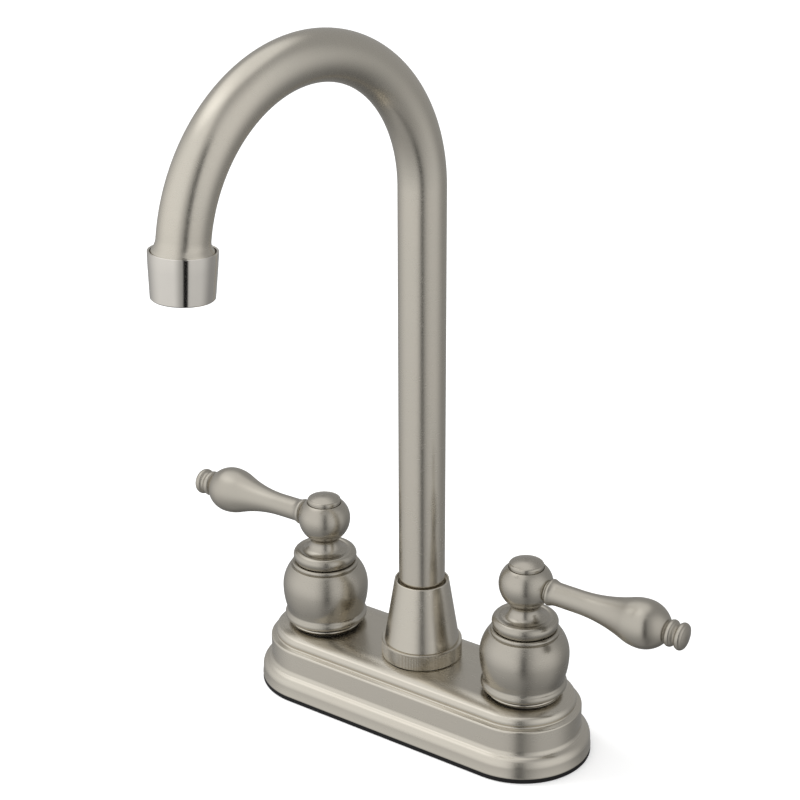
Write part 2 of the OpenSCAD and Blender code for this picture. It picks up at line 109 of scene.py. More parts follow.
class Finish:
    # a node tree being filled, for a material or the world
    def __init__(self, owner):
        owner.use_nodes = True
        self.tree = owner.node_tree
        self.tree.nodes.clear()

    def node(self, kind, settings=None, inputs=None, out=0):
        made = self.tree.nodes.new(kind)
        for name, setting in (settings or {}).items():
            setattr(made, name, setting)
        for name, given in (inputs or {}).items():
            if isinstance(given, Value):
                self.tree.links.new(given.socket, made.inputs[name])
            else:
                made.inputs[name].default_value = given
        return Value(self, made.outputs[out]) if len(made.outputs) else made

    def mixed(self, amount, first, second):
        return self.node("ShaderNodeMix", {"data_type": "RGBA"}, {0: amount, 6: first, 7: second}, 2)

    def vector(self, operation, first, second=(0, 0, 0), out=0):
        return self.node("ShaderNodeVectorMath", {"operation": operation}, {0: first, 1: second}, out)

    def scaled(self, vector, factor):
        return self.node("ShaderNodeVectorMath", {"operation": "SCALE"}, {0: vector, "Scale": factor})

    # coordinates on the piece itself, in metres
    def place(self):
        return self.node("ShaderNodeTexCoord", out="Object")

    def bump(self, strength, depth, height):
        sockets = {"Strength": strength, "Distance": depth, "Height": height}
        return self.node("ShaderNodeBump", None, sockets)

    def combined(self, x, y, z):
        return self.node("ShaderNodeCombineXYZ", None, {0: x, 1: y, 2: z})

    def parts(self, vector):
        made = self.node("ShaderNodeSeparateXYZ", None, {0: vector})
        node = made.socket.node
        return [Value(self, node.outputs[i]) for i in range(3)]

    def noise(self, vector, scale, detail, roughness):
        sockets = {"Vector": vector, "Scale": scale, "Detail": detail, "Roughness": roughness}
        return self.node("ShaderNodeTexNoise", None, sockets)

    def eased(self, value, low, high, start=0.0, end=1.0):
        settings = {"interpolation_type": "SMOOTHSTEP"}
        return self.node("ShaderNodeMapRange", settings, {0: value, 1: low, 2: high, 3: start, 4: end})

    def output(self, shader, kind="ShaderNodeOutputMaterial"):
        self.node(kind, None, {0: shader})


def newFinish(name):
    material = bpy.data.materials.new(name)
    return material, Finish(material)


# the place itself, the unit direction away from the turning axis, and the distances from and along it
def turnedPlace(finish):
    place = finish.place()
    x, y, z = finish.parts(place)
    flat = finish.combined(x, y, 0.0)
    away = finish.vector("NORMALIZE", flat)
    radius = finish.vector("LENGTH", flat, out="Value")
    return place, away, radius, z


nickelLook = {
    "colour": (0.60, 0.57, 0.50, 1),
    "warm": (0.615, 0.57, 0.495, 1),
    "dark": (0.34, 0.31, 0.27, 1),
    "roughness": 0.25,
    "anisotropy": 0.55,
    "grainPitch": 4200,  # strokes per metre
    "grainLength": 3.0,
    "straightGrain": 60.0,
    "grainDepth": 0.0000006,
    "grainRelief": 0.35,
    "grainShade": 0.22,
    # how far concave hollows are darkened: painted shade
    "paintedHollowShade": 0.3,
    "grainRough": 0.10,
    "broadRough": 0.08,
    "smudgeRough": 0.02,
    "wornShine": 0.06,
    "cloudScale": 55.0,
    "smudgeScale": 130.0,
}


# satin nickel: grainVector gives the coordinates that the brush strokes follow, and the plain place
def satinNickel(name, grainVector, roughness=nickelLook["roughness"], anisotropy=nickelLook["anisotropy"],
                shade=1.0):
    look = nickelLook
    material, finish = newFinish(name)
    across, place = grainVector(finish)
    fineGrain = finish.noise(across, 1.0, 4.0, 0.65)
    broadGrain = finish.noise(finish.vector("MULTIPLY", across, (0.5, 0.5, 0.12)), 1.0, 2.0, 0.5)
    cloud = finish.noise(place, look["cloudScale"], 3.0, 0.55)
    smudge = finish.eased(finish.noise(place, look["smudgeScale"], 4.0, 0.6), 0.50, 0.72)
    edge = finish.node("ShaderNodeNewGeometry", out="Pointiness")
    worn = finish.eased(edge, 0.53, 0.60)
    # painted shade: concave hollows, found by their pointiness, are mixed towards the dark tone
    hollow = finish.eased(edge, 0.47, 0.41)
    # a shade below 1 darkens both colours: painted shade, for a darker copy of the same nickel
    colour, warm = [[part * shade for part in look[key][:3]] + [1] for key in ("colour", "warm")]
    tone = finish.mixed(cloud, colour, warm)
    tone = finish.mixed((fineGrain - 0.5).size() * look["grainShade"], tone, look["dark"])
    tone = finish.mixed(hollow * look["paintedHollowShade"], tone, look["dark"])
    rough = roughness + (fineGrain - 0.5) * look["grainRough"] + (broadGrain - 0.5) * look["broadRough"]
    rough = rough + smudge * look["smudgeRough"] - worn * look["wornShine"]
    height = fineGrain * 0.7 + broadGrain * 0.3
    relief = finish.bump(look["grainRelief"], look["grainDepth"], height)
    shader = finish.node("ShaderNodeBsdfPrincipled", None, {
        "Base Color": tone, "Metallic": 1.0, "Roughness": rough.clamped(), "Normal": relief,
        "Anisotropic": anisotropy})
    finish.output(shader)
    return material


# brush strokes that run round a turned part
def roundGrain(finish):
    place, away, radius, z = turnedPlace(finish)
    turn = finish.scaled(away, nickelLook["grainLength"])
    lines = finish.combined(0.0, 0.0, (z + radius) * nickelLook["grainPitch"])
    return finish.vector("ADD", turn, lines), place


# strokes that follow the long sides of the base and run round its ends
def baseGrain(finish):
    place = finish.place()
    x, y, z = finish.parts(place)
    endX = base["endX"] * mm
    past = (x.size() - endX).maths("MAXIMUM", 0.0)
    spread = finish.vector("LENGTH", finish.combined(past, y, 0.0), out="Value")
    stretch = nickelLook["straightGrain"]
    return finish.combined(x * stretch, y * stretch, (z - spread) * nickelLook["grainPitch"]), place


# strokes that run round the spout tube: the distance along it stands in for the height
def tubeGrain(finish):
    place = finish.place()
    uv = finish.node("ShaderNodeUVMap", {"uv_map": "alongTube"})
    u, v = finish.parts(uv)[:2]
    turn = u * (2 * pi)
    x = turn.maths("COSINE") * nickelLook["grainLength"]
    y = turn.maths("SINE") * nickelLook["grainLength"]
    return finish.combined(x, y, v * nickelLook["grainPitch"]), place


brightLook = {
    "colour": (0.76, 0.725, 0.665, 1),
    "hazed": (0.72, 0.69, 0.64, 1),
    "mark": (0.45, 0.42, 0.38, 1),
    "roughness": 0.10,
    "markPitch": 7000,
    "markLength": 4.0,
    "markDepth": 0.000004,
    "hazeScale": 160.0,
}


# polished nickel with faint turning marks
def brightNickel(name):
    look = brightLook
    material, finish = newFinish(name)
    place, away, radius, z = turnedPlace(finish)
    turn = finish.scaled(away, look["markLength"])
    lines = finish.combined(0.0, 0.0, (z + radius) * look["markPitch"])
    marks = finish.noise(finish.vector("ADD", turn, lines), 1.0, 3.0, 0.6)
    haze = finish.noise(place, look["hazeScale"], 3.0, 0.5)
    tone = finish.mixed(haze, look["colour"], look["hazed"])
    tone = finish.mixed(finish.eased(marks, 0.62, 0.8) * 0.25, tone, look["mark"])
    relief = finish.bump(0.15, look["markDepth"], marks)
    shader = finish.node("ShaderNodeBsdfPrincipled", None, {
        "Base Color": tone, "Metallic": 1.0, "Normal": relief,
        "Roughness": look["roughness"] + haze * 0.05 + (marks - 0.5) * 0.06})
    finish.output(shader)
    return material


# bare metal as it comes off a lathe
def machinedMetal(name, light, dark, roughness):
    material, finish = newFinish(name)
    place, away, radius, z = turnedPlace(finish)
    lines = finish.vector("ADD", away, finish.combined(0.0, 0.0, (z + radius) * 3800))
    cuts = finish.noise(lines, 1.0, 3.0, 0.6)
    stain = finish.noise(place, 90.0, 4.0, 0.6)
    tone = finish.mixed(finish.eased(stain, 0.35, 0.75), light, dark)
    relief = finish.bump(0.4, 0.00001, cuts)
    shader = finish.node("ShaderNodeBsdfPrincipled", None, {
        "Base Color": tone, "Metallic": 1.0, "Roughness": roughness + (cuts - 0.5) * 0.2 + stain * 0.1,
        "Normal": relief})
    finish.output(shader)
    return material


# rubber, plastic and ceramic; grain is per metre, depth in metres
def mouldedFinish(name, light, dark, roughness, grain, depth, shine=0.5):
    material, finish = newFinish(name)
    place = finish.place()
    fineGrain = finish.noise(place, grain, 4.0, 0.6)
    cloud = finish.noise(place, 60.0, 3.0, 0.5)
    tone = finish.mixed(cloud * 0.7 + fineGrain * 0.3, light, dark)
    relief = finish.bump(0.5, depth, fineGrain)
    shader = finish.node("ShaderNodeBsdfPrincipled", None, {
        "Base Color": tone, "Roughness": roughness + (fineGrain - 0.5) * 0.2, "Specular IOR Level": shine,
        "Normal": relief})
    finish.output(shader)
    return material


# points of an arc about (x, z), in millimetres and degrees
def arc(x, z, radius, start, end, step=3.0):
    count = max(3, ceil(abs(end - start) / step))
    angles = [radians(start + (end - start) * i / count) for i in range(count + 1)]
    return [(x + radius * cos(a), z + radius * sin(a)) for a in angles]


# the angle, in degrees, at which a circle has risen by this much over its middle
def riseTurn(rise, radius):
    return degrees(asin(rise / radius))


# rounds every corner of a closed outline that turns by more than 20 degrees
def softened(outline, radius=0.2):
    points = []
    count = len(outline)
    for i, corner in enumerate(outline):
        here = Vector(corner)
        before = Vector(outline[i - 1]) - here
        after = Vector(outline[(i + 1) % count]) - here
        onAxis = here.x < 1e-6
        if onAxis or before.length < 1e-6 or after.length < 1e-6:
            points.append(corner)
            continue
        turn = pi - before.angle(after)
        if turn < radians(20):
            points.append(corner)
            continue
        cut = min(radius * tan(turn / 2), 0.45 * before.length, 0.45 * after.length)
        first = here + before.normalized() * cut
        last = here + after.normalized() * cut
        for j in range(5):
            t = j / 4
            points.append(tuple(first * (1 - t) ** 2 + here * 2 * t * (1 - t) + last * t ** 2))
    return points


def newPiece(name, vertices, faces, material, body, nodes=(), place=None, sharp=35):
    mesh = bpy.data.meshes.new(name)
    mesh.from_pydata([tuple(v) for v in vertices], [], faces)
    shape = bmesh.new()
    shape.from_mesh(mesh)
    bmesh.ops.remove_doubles(shape, verts=shape.verts, dist=1e-7)
    bmesh.ops.recalc_face_normals(shape, faces=shape.faces)
    shape.to_mesh(mesh)
    shape.free()
    mesh.shade_smooth()
    mesh.set_sharp_from_angle(angle=radians(sharp))
    mesh.materials.append(material)
    piece = bpy.data.objects.new(name, mesh)
    bpy.context.scene.collection.objects.link(piece)
    weighted = piece.modifiers.new("evenShading", "WEIGHTED_NORMAL")
    weighted.keep_sharp = True
    if place is not None:
        piece.matrix_world = place
    if nodes:
        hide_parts(*nodes)
    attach(piece, body)
    return piece


# revolves an outline of (radius, height) points about Z; ripple may change a radius by angle and height
def turnedShape(outline, segments=144, ripple=None):
    vertices, rings = [], []
    for radius, height in outline:
        if radius < 1e-6:
            rings.append([len(vertices)])
            vertices.append((0, 0, height * mm))
            continue
        rings.append(range(len(vertices), len(vertices) + segments))
        for i in range(segments):
            angle = 2 * pi * i / segments
            r = (radius + (ripple(i, radius, height) if ripple else 0)) * mm
            vertices.append((r * cos(angle), r * sin(angle), height * mm))
    faces = []
    for a, b in zip(rings, rings[1:] + rings[:1]):
        if len(a) == 1 and len(b) == 1:
            continue
        for i in range(segments):
            j = (i + 1) % segments
            if len(a) == 1:
                faces.append((a[0], b[j], b[i]))
            elif len(b) == 1:
                faces.append((a[i], a[j], b[0]))
            else:
                faces.append((a[i], a[j], b[j], b[i]))
    return vertices, faces


valve = {"halfSpacing": 50.8, "coverTop": 27.517}


def valvePlace(side):
    return Matrix.Translation((side * valve["halfSpacing"] * mm, 0, 0))


turned = satinNickel("satinNickelTurned", roundGrain)
# painted shade: the handles' and levers' nickel is the same satin nickel darkened to 0.77; the levers' is
# also a little rougher
shadedHandleNickel = satinNickel("satinNickelHandleShaded", roundGrain, shade=0.77)
shadedLeverNickel = satinNickel("satinNickelLeverShaded", roundGrain, roughness=0.31, shade=0.77)
polished = brightNickel("brightNickel")
blackRubber = mouldedFinish("blackRubber", (0.007, 0.007, 0.008, 1), (0.013, 0.012, 0.012, 1),
                            roughness=0.7, grain=2600, depth=0.00002, shine=0.25)


# heights are over the deck
base = {
    "endX": 49.75,
    "halfWidth": 28.9,
    "wall": 2.0,
    "foot": 2.0,
    "footHeight": 0.8,
    "footTop": 2.2,
    "lipTop": 6.2,
    "lipIn": 0.25,
    "shoulder": 4.4,
    "shoulderTurn": 64,
    "cove": 2.5,
    "ledgeZ": 20.6,
    "ledge": 0.8,
    "ledgeTurn": 70,
    "edgeIn": 4.9,
    "edgeZ": 23.43,
    "edge": 2.7,
    "edgeUnder": 20,
    "groove": 0.5,
    "crown": 17.5,
    "crownTurn": 65,
    "spoutHole": 12.3,
    "valveHole": 10.8,
    "cutDepth": 8.0,
}


# distance of the cover's upright wall from the middle line
def wallX():
    b = base
    flare = b["shoulder"] + b["cove"]
    return b["halfWidth"] - b["lipIn"] - flare * (1 - cos(radians(b["shoulderTurn"])))


# half section of the cover's flared side, drawn in by the wall's thickness
def coverSide(wall):
    b = base
    shoulderX = b["halfWidth"] - b["lipIn"] - b["shoulder"]
    flare = b["shoulder"] + b["cove"]
    coveZ = b["lipTop"] + flare * sin(radians(b["shoulderTurn"]))
    points = arc(shoulderX, b["lipTop"], b["shoulder"] - wall, 0, b["shoulderTurn"])
    return points + arc(wallX() + b["cove"], coveZ, b["cove"] + wall, 180 + b["shoulderTurn"], 180, 6)[1:]


# from the rolled edge to the middle of the top
def coverCrown(wall, start):
    b = base
    edgeX = wallX() - b["edgeIn"]
    crownX = edgeX + (b["edge"] - b["crown"]) * cos(radians(b["crownTurn"]))
    crownZ = b["edgeZ"] + (b["edge"] - b["crown"]) * sin(radians(b["crownTurn"]))
    points = arc(edgeX, b["edgeZ"], b["edge"] - wall, start, b["crownTurn"], 5)
    points += arc(crownX, crownZ, b["crown"] - wall, b["crownTurn"], 90, 2)[1:]
    return points + [(crownX * 0.5, crownZ + b["crown"] - wall)]


def coverOutside():
    b = base
    edge, foot = b["halfWidth"], b["foot"]
    points = [(edge - 0.2, foot), (edge - 0.05, foot + 0.1), (edge, foot + 0.3),
              (edge, foot + b["footHeight"]), (edge - b["lipIn"] + 0.05, foot + b["footTop"])]
    points += coverSide(0)
    points += arc(wallX() - b["ledge"], b["ledgeZ"], b["ledge"], 0, b["ledgeTurn"], 10)
    reach = b["edge"] + b["groove"]
    grooveX = wallX() - b["edgeIn"] + reach * cos(radians(b["edgeUnder"]))
    grooveZ = b["edgeZ"] - reach * sin(radians(b["edgeUnder"]))
    points += arc(grooveX, grooveZ, b["groove"], 180 + b["ledgeTurn"], 180 - b["edgeUnder"], 15)
    return points + coverCrown(0, -b["edgeUnder"])[1:]


def coverInside():
    b = base
    inner = b["halfWidth"] - b["wall"]
    foot = [(inner, b["foot"]), (inner - 0.05, b["foot"] + 1.5)]
    return foot + coverSide(b["wall"]) + coverCrown(b["wall"], b["edgeUnder"])


# one ring of the stadium plan, at a distance from its middle line
def stadiumRing(distance, height, turns=48, straights=12):
    ring = []
    for side in (1, -1):
        for i in range(turns + 1):
            angle = radians(-90 + 180 * i / turns + (180 if side < 0 else 0))
            ring.append((side * base["endX"] + distance * cos(angle), distance * sin(angle), height))
        for i in range(1, straights):
            x = side * base["endX"] * (1 - 2 * i / straights)
            ring.append((x, side * distance, height))
    return [(x * mm, y * mm, z * mm) for x, y, z in ring]


# sweeps an outline round the stadium plan and closes it with a flat middle below and above
def stadiumShape(outline):
    vertices, faces = [], []
    rings = [stadiumRing(distance, height) for distance, height in outline]
    size = len(rings[0])
    for ring in rings:
        vertices += ring
    for k in range(len(rings) - 1):
        for i in range(size):
            j = (i + 1) % size
            faces.append((k * size + i, k * size + j, (k + 1) * size + j, (k + 1) * size + i))
    last = len(rings) - 1
    faces.append(tuple(range(last * size, (last + 1) * size)))
    faces.append(tuple(reversed(range(size))))
    return vertices, faces


# a round hole through the cover's top
def cutHole(cover, x, radius):
    shape = bmesh.new()
    at = Matrix.Translation((x * mm, 0, valve["coverTop"] * mm))
    bmesh.ops.create_cone(shape, cap_ends=True, segments=96, radius1=radius * mm, radius2=radius * mm,
                          depth=base["cutDepth"] * mm, matrix=at)
    mesh = bpy.data.meshes.new("holeCutter")
    shape.to_mesh(mesh)
    shape.free()
    cutter = bpy.data.objects.new("holeCutter", mesh)
    bpy.context.scene.collection.objects.link(cutter)
    cut = cover.modifiers.new("hole", "BOOLEAN")
    cut.operation = "DIFFERENCE"
    cut.object = cutter
    bpy.context.view_layer.objects.active = cover
    bpy.ops.object.modifier_move_to_index(modifier="hole", index=0)
    bpy.ops.object.modifier_apply(modifier="hole")
    bpy.data.objects.remove(cutter)


def makeBase():
    outline = coverInside()[::-1] + coverOutside()
    vertices, faces = stadiumShape(outline)
    nickel = satinNickel("satinNickelBase", baseGrain, anisotropy=0.5)
    cover = newPiece("baseCover", vertices, faces, nickel, "fixture", ["base_cover"])
    # a texture space this long gives the highlights one direction all along the base
    cover.data.use_auto_texspace = False
    cover.data.texspace_location = (0, 0, 0)
    cover.data.texspace_size = (50, 0.03, 0.03)
    cutHole(cover, 0, base["spoutHole"])
    for side, name in sides:
        cutHole(cover, side * valve["halfSpacing"], base["valveHole"])


gasket = {"bulge": 0.12, "round": 0.5, "thick": 2.0, "inner": 2.0}


def makeGasket():
    g = gasket
    edge = base["halfWidth"]
    outline = [(g["inner"], 0.0)]
    outline += arc(edge - g["round"], g["round"], g["round"], -90, 0, 15)
    outline += [(edge - g["bulge"], g["thick"] * 0.6), (edge - 0.05, g["thick"]), (g["inner"], g["thick"])]
    vertices, faces = stadiumShape(outline)
    newPiece("deckGasket", vertices, faces, blackRubber, "fixture", ["deck_gasket"])


makeBase()
makeGasket()
print("base made")


bell = {
    "widest": 18.25, "middle": 44.5, "above": 15.7, "below": 33.0, "waist": 35.2,
    "foot": valve["coverTop"] + 1.8, "bead": 1.9, "beadIn": 2.55, "beadTurn": 45,
    "hollow": 1.5, "hollowTurn": 167, "wall": 1.5, "roof": 52.9, "skirt": 13.75, "skirtRise": 3.0,
    "neck": 8.6, "lip": 0.9, "lipX": 13.25, "lipTop": 56.2,
}


def makeBell(side, name):
    b = bell
    middle = b["widest"] - b["above"]
    beadMiddle = b["foot"] + b["bead"]
    lipZ = b["lipTop"] - b["lip"]
    outline = arc(b["lipX"], lipZ, b["lip"], 90, -50, 10)
    outline += arc(middle, b["middle"], b["above"],
                   riseTurn(lipZ - b["lip"] - b["middle"], b["above"]), 0, 2)
    outline += arc(b["widest"] - b["below"], b["middle"], b["below"],
                   0, -riseTurn(b["middle"] - b["waist"], b["below"]), 1)[1:]
    beadX = b["widest"] - b["beadIn"]
    reach = b["bead"] + b["hollow"]
    turn = radians(b["beadTurn"])
    outline += arc(beadX + reach * cos(turn), beadMiddle + reach * sin(turn), b["hollow"],
                   b["hollowTurn"], 180 + b["beadTurn"], 6)
    outline += arc(beadX, beadMiddle, b["bead"], b["beadTurn"], -90, 6)[1:]
    outline += [(b["skirt"], b["foot"]), (b["skirt"], beadMiddle + b["skirtRise"])]
    inner = b["above"] - b["wall"]
    outline += arc(middle, b["middle"], inner, 0, riseTurn(b["roof"] - b["middle"], inner), 5)
    outline += [(b["neck"], b["roof"]), (b["neck"], b["lipTop"])]
    vertices, faces = turnedShape(softened(outline))
    newPiece(name + "Bell", vertices, faces, shadedHandleNickel, "fixture",
             [name + "_bell"], valvePlace(side))


bellSeat = {"bore": 14.4, "rim": 0.3, "rise": 0.6, "cove": 0.7, "sink": 0.4}


# the coved rim on the cover round each black ring, which leaves a thin dark line under the bell
def makeBellSeat(side, name):
    b = bellSeat
    foot = valve["coverTop"] - b["sink"]
    top = valve["coverTop"] + b["rise"]
    coveX = b["bore"] + b["rim"] + b["cove"]
    outline = [(b["bore"], foot), (b["bore"], top)]
    outline += arc(coveX, top, b["cove"], 180, 262, 8) + [(coveX, foot)]
    vertices, faces = turnedShape(softened(outline, 0.1), 96)
    newPiece(name + "BellSeat", vertices, faces, turned, "fixture", place=valvePlace(side))


hub = {
    "foot": 56.4, "heel": ((1.6, 0.0), (1.9, 0.15), (2.15, 0.7)),
    "rimX": 10.9, "rim": 2.6, "rimStart": -22, "rimTurn": 116,
    "neck": 6.2, "blend": 2.4, "ball": 11.0, "ballZ": 76.0, "ballTop": 9.2, "seat": 83.2,
    "rebate": 7.25, "plugHole": 6.0, "plugGap": 0.4, "capSink": 0.5,
    "screwHole": 4.4, "screwSeat": 76.2, "screwBore": 2.05, "bore": 4.0, "boreTop": 67.8,
}


def makeHub(side, name):
    h = hub
    outline = [(h["bore"], h["foot"])]
    outline += [(h["rimX"] + out, h["foot"] + up) for out, up in h["heel"]]
    outline += arc(h["rimX"], h["foot"] + h["rim"], h["rim"], h["rimStart"], h["rimTurn"], 6)
    blendX, reach = h["neck"] + h["blend"], h["ball"] + h["blend"]
    blendTurn = acos(blendX / reach)
    neckZ = h["ballZ"] - reach * sin(blendTurn)
    # the flare runs from the inner edge of the rim up to the neck
    rise, spread = neckZ - outline[-1][1], outline[-1][0] - h["neck"]
    flareTurn = 2 * atan2(spread, rise)
    flare = rise / sin(flareTurn)
    outline += arc(h["neck"] + flare, neckZ, flare, 180 + degrees(flareTurn), 180, 3)[1:]
    outline += arc(blendX, neckZ, h["blend"], 180, 180 - degrees(blendTurn), 8)[1:]
    outline += arc(0, h["ballZ"], h["ball"], -degrees(blendTurn), 0, 2.5)[1:]
    outline += arc(h["ball"] - h["ballTop"], h["ballZ"], h["ballTop"],
                   0, riseTurn(h["seat"] - h["ballZ"], h["ballTop"]), 2.5)[1:]
    sink = h["seat"] - h["capSink"]
    plugFloor = cap["foot"] - h["plugGap"]
    outline += [(h["rebate"], h["seat"]), (h["rebate"], sink), (h["plugHole"], sink),
                (h["plugHole"], plugFloor), (h["screwHole"], plugFloor), (h["screwHole"], h["screwSeat"]),
                (h["screwBore"], h["screwSeat"]), (h["screwBore"], h["boreTop"]), (h["bore"], h["boreTop"])]
    vertices, faces = turnedShape(softened(outline, 0.15))
    newPiece(name + "Hub", vertices, faces, shadedHandleNickel, name + "_handle",
             [name + "_hub"], valvePlace(side))


lever = {
    "height": 75.6, "droop": 2.0, "back": 2.0, "stud": 2.6, "studFoot": 5.6,
    "root": 9.8, "rootRadius": 5.5, "rootLength": 3.2, "rootRound": 1.2, "rootFillet": 7.0,
    "rootSink": 0.4, "rootGap": 0.8, "rootNeck": 4.4,
    "stem": 4.75, "swellStart": 24.0, "swell": 64.0, "bulb": 9.85, "bulbBend": 20.0, "nose": 11.9,
    "finial": 5.45, "finialGap": 9.7, "collar": ((1.15, 0.1), (1.0, 0.3), (1.35, 0.6)),
    "ring": 1.7, "ringRise": 2.25, "grooveIn": 1.15, "grooveRise": 4.25,
    "button": 6.6, "buttonOut": 0.1, "buttonRound": 1.75, "tip": 2.4, "tipDome": 11.4,
}


# lays the lever's long axis out from the hub, drooping a little and set a little to the back
def leverPlace(side):
    turn = 180 - lever["back"] if side < 0 else lever["back"]
    spin = Matrix.Rotation(radians(turn), 4, "Z")
    lift = Matrix.Translation((0, 0, lever["height"] * mm))
    lay = Matrix.Rotation(radians(90 + lever["droop"]), 4, "Y")
    return valvePlace(side) @ spin @ lift @ lay


# one outline from the stud in the hub to the finial's tip; names in S are distances along the lever
def leverOutline():
    v = lever
    swellTurn = degrees(acos(1 - (v["bulb"] - v["stem"]) / (v["swell"] + v["bulbBend"])))
    bulbS = v["swellStart"] + (v["swell"] + v["bulbBend"]) * sin(radians(swellTurn))
    rootFoot, rootFace = v["root"] + v["rootGap"], v["root"] - v["rootSink"]
    outline = [(0, v["studFoot"]), (v["stud"], v["studFoot"]), (v["stud"], rootFace),
               (v["rootNeck"], rootFace), (v["rootNeck"], rootFoot)]
    rootIn = v["rootRadius"] - v["rootRound"]
    rootEnd = v["root"] + v["rootLength"] - v["rootRound"]
    reach = v["rootRound"] + v["rootFillet"]
    filletX = v["stem"] + v["rootFillet"]
    rootTurn = acos((filletX - rootIn) / reach)
    outline += arc(rootIn, rootFoot + v["rootRound"], v["rootRound"], -80, 0, 10)
    outline += arc(rootIn, rootEnd, v["rootRound"], 0, degrees(rootTurn), 10)
    outline += arc(filletX, rootEnd + reach * sin(rootTurn), v["rootFillet"],
                   180 + degrees(rootTurn), 180, 6)[1:]
    outline += arc(v["stem"] + v["swell"], v["swellStart"], v["swell"], 180, 180 - swellTurn, 0.8)
    outline += arc(v["bulb"] - v["bulbBend"], bulbS, v["bulbBend"], -swellTurn, 0, 1.5)[1:]
    outline += arc(v["bulb"] - v["nose"], bulbS, v["nose"], 4, 54, 2.5)
    finialS = bulbS + v["finialGap"]
    outline += [(v["finial"] - inward, finialS + up) for inward, up in v["collar"]]
    outline += arc(v["finial"] - v["ring"], finialS + v["ringRise"], v["ring"], -55, 62, 8)
    outline += [(v["finial"] - v["grooveIn"], finialS + v["grooveRise"])]
    buttonS = finialS + v["button"]
    tipS = buttonS + v["tip"]
    buttonX = v["finial"] + v["buttonOut"] - v["buttonRound"]
    outline += arc(buttonX, buttonS, v["buttonRound"], -62, 60, 8)
    outline += arc(0, tipS - v["tipDome"], v["tipDome"], 67, 90, 4)[:-1] + [(0, tipS)]
    return outline


def makeLever(side, name):
    vertices, faces = turnedShape(softened(leverOutline(), 0.15), 128)
    newPiece(name + "Lever", vertices, faces, shadedLeverNickel, name + "_handle",
             [name + "_lever"], leverPlace(side))


cap = {"radius": 7.1, "plug": 5.9, "foot": 79.4, "edge": 1.2, "edgeRise": 0.9, "dome": 14.6, "domeZ": 71.9}


def makeCap(side, name):
    c = cap
    sink = hub["seat"] - hub["capSink"]
    outline = [(0, c["foot"]), (c["plug"], c["foot"]), (c["plug"], sink), (c["radius"], sink)]
    outline += arc(c["radius"] - c["edge"], hub["seat"] + c["edgeRise"], c["edge"], 0, 64, 8)
    outline += arc(0, c["domeZ"], c["dome"], 64.5, 90, 2)[:-1] + [(0, c["domeZ"] + c["dome"])]
    vertices, faces = turnedShape(softened(outline, 0.15), 96)
    newPiece(name + "Cap", vertices, faces, shadedHandleNickel, name + "_handle",
             [name + "_cap"], valvePlace(side))


for side, name in sides:
    makeBell(side, name)
    makeBellSeat(side, name)
    makeHub(side, name)
    makeLever(side, name)
    makeCap(side, name)
print("handles made")


ringNut = {
    "radius": 16.85, "foot": valve["coverTop"] + 0.9, "height": 6.4, "apron": 0.75, "apronBore": 15.7,
    "knurls": 156, "knurlDepth": 0.28, "knurlCrest": 0.35, "perKnurl": 6,
    "knurlsEnd": 0.35, "knurlsTop": 0.75,
    "rim": 13.3, "rimHeight": 3.5, "bore": 12.0, "lipBore": 10.125, "lipZ": valve["coverTop"] + 8.5,
}


def makeRingNut():
    n = ringNut
    wide, foot, top = n["radius"], n["foot"], n["foot"] + n["height"]
    apron, rimTop, lip = foot - n["apron"], top + n["rimHeight"], n["lipZ"] + 0.1
    low, high = apron + n["knurlsEnd"], top - n["knurlsTop"]
    root = wide - n["knurlDepth"]
    outline = [(n["bore"], foot), (n["apronBore"], foot), (n["apronBore"], apron), (wide - 0.5, apron),
               (wide - 0.3, low - 0.1), (wide, low), (wide, (low + high) / 2), (wide, high),
               (root, high + 0.12), (root, high + 0.3), (wide - 0.1, high + 0.42),
               (wide - 0.1, top - 0.15), (wide - 0.25, top), (n["rim"], top), (n["rim"], rimTop),
               (n["lipBore"], rimTop), (n["lipBore"], lip), (n["bore"], lip)]

    # straight knurl: flat crests with V grooves between them
    def knurl(i, radius, height):
        if radius < wide - 0.01 or not low - 0.01 <= height <= high + 0.01:
            return 0
        phase = abs((i % n["perKnurl"]) / n["perKnurl"] - 0.5) * 2
        return -n["knurlDepth"] * max(0, phase - n["knurlCrest"]) / (1 - n["knurlCrest"])

    vertices, faces = turnedShape(outline, n["knurls"] * n["perKnurl"], knurl)
    newPiece("spoutNut", vertices, faces, turned, "fixture", ["spout_nut"], sharp=25)


cone = {
    "foot": 15.6, "lip": 11.3, "top": 62.6, "wall": 0.8, "guide": 9.75, "guideTop": 61.3, "guideDepth": 3.0,
}


def makeCone():
    c = cone
    lip = c["wall"] / 2
    foot = ringNut["foot"] + ringNut["height"]
    outline = [(c["foot"] - c["wall"], foot), (c["foot"] - 0.12, foot), (c["foot"], foot + 0.15)]
    outline += arc(c["lip"] - lip, c["top"] - lip, lip, 8, 180, 12)
    inside, top = c["lip"] - c["wall"], c["guideTop"]
    under = top - c["guideDepth"]
    outline += [(inside, top), (c["guide"] + 0.3, top), (c["guide"], top - 0.3), (c["guide"], under),
                (inside + 0.2, under - 0.4)]
    vertices, faces = turnedShape(outline)
    newPiece("spoutCone", vertices, faces, turned, "fixture", ["spout_cone"])


makeRingNut()
makeCone()


tube = {
    "radius": 9.525, "wall": 1.2, "foot": ringNut["lipZ"], "bendZ": 231.0, "bend": 61.0, "sweep": 176.6,
    "turn": 6.7, "tail": 3.0, "footStep": 0.4, "straightSteps": 24, "steps": 190, "around": 96,
    "mouth": 11.3, "flareStart": 5.6, "flareEnd": 1.4, "flareCurve": 2.4,
}


def spoutTurn():
    return Matrix.Rotation(-radians(tube["turn"]), 4, "Z")


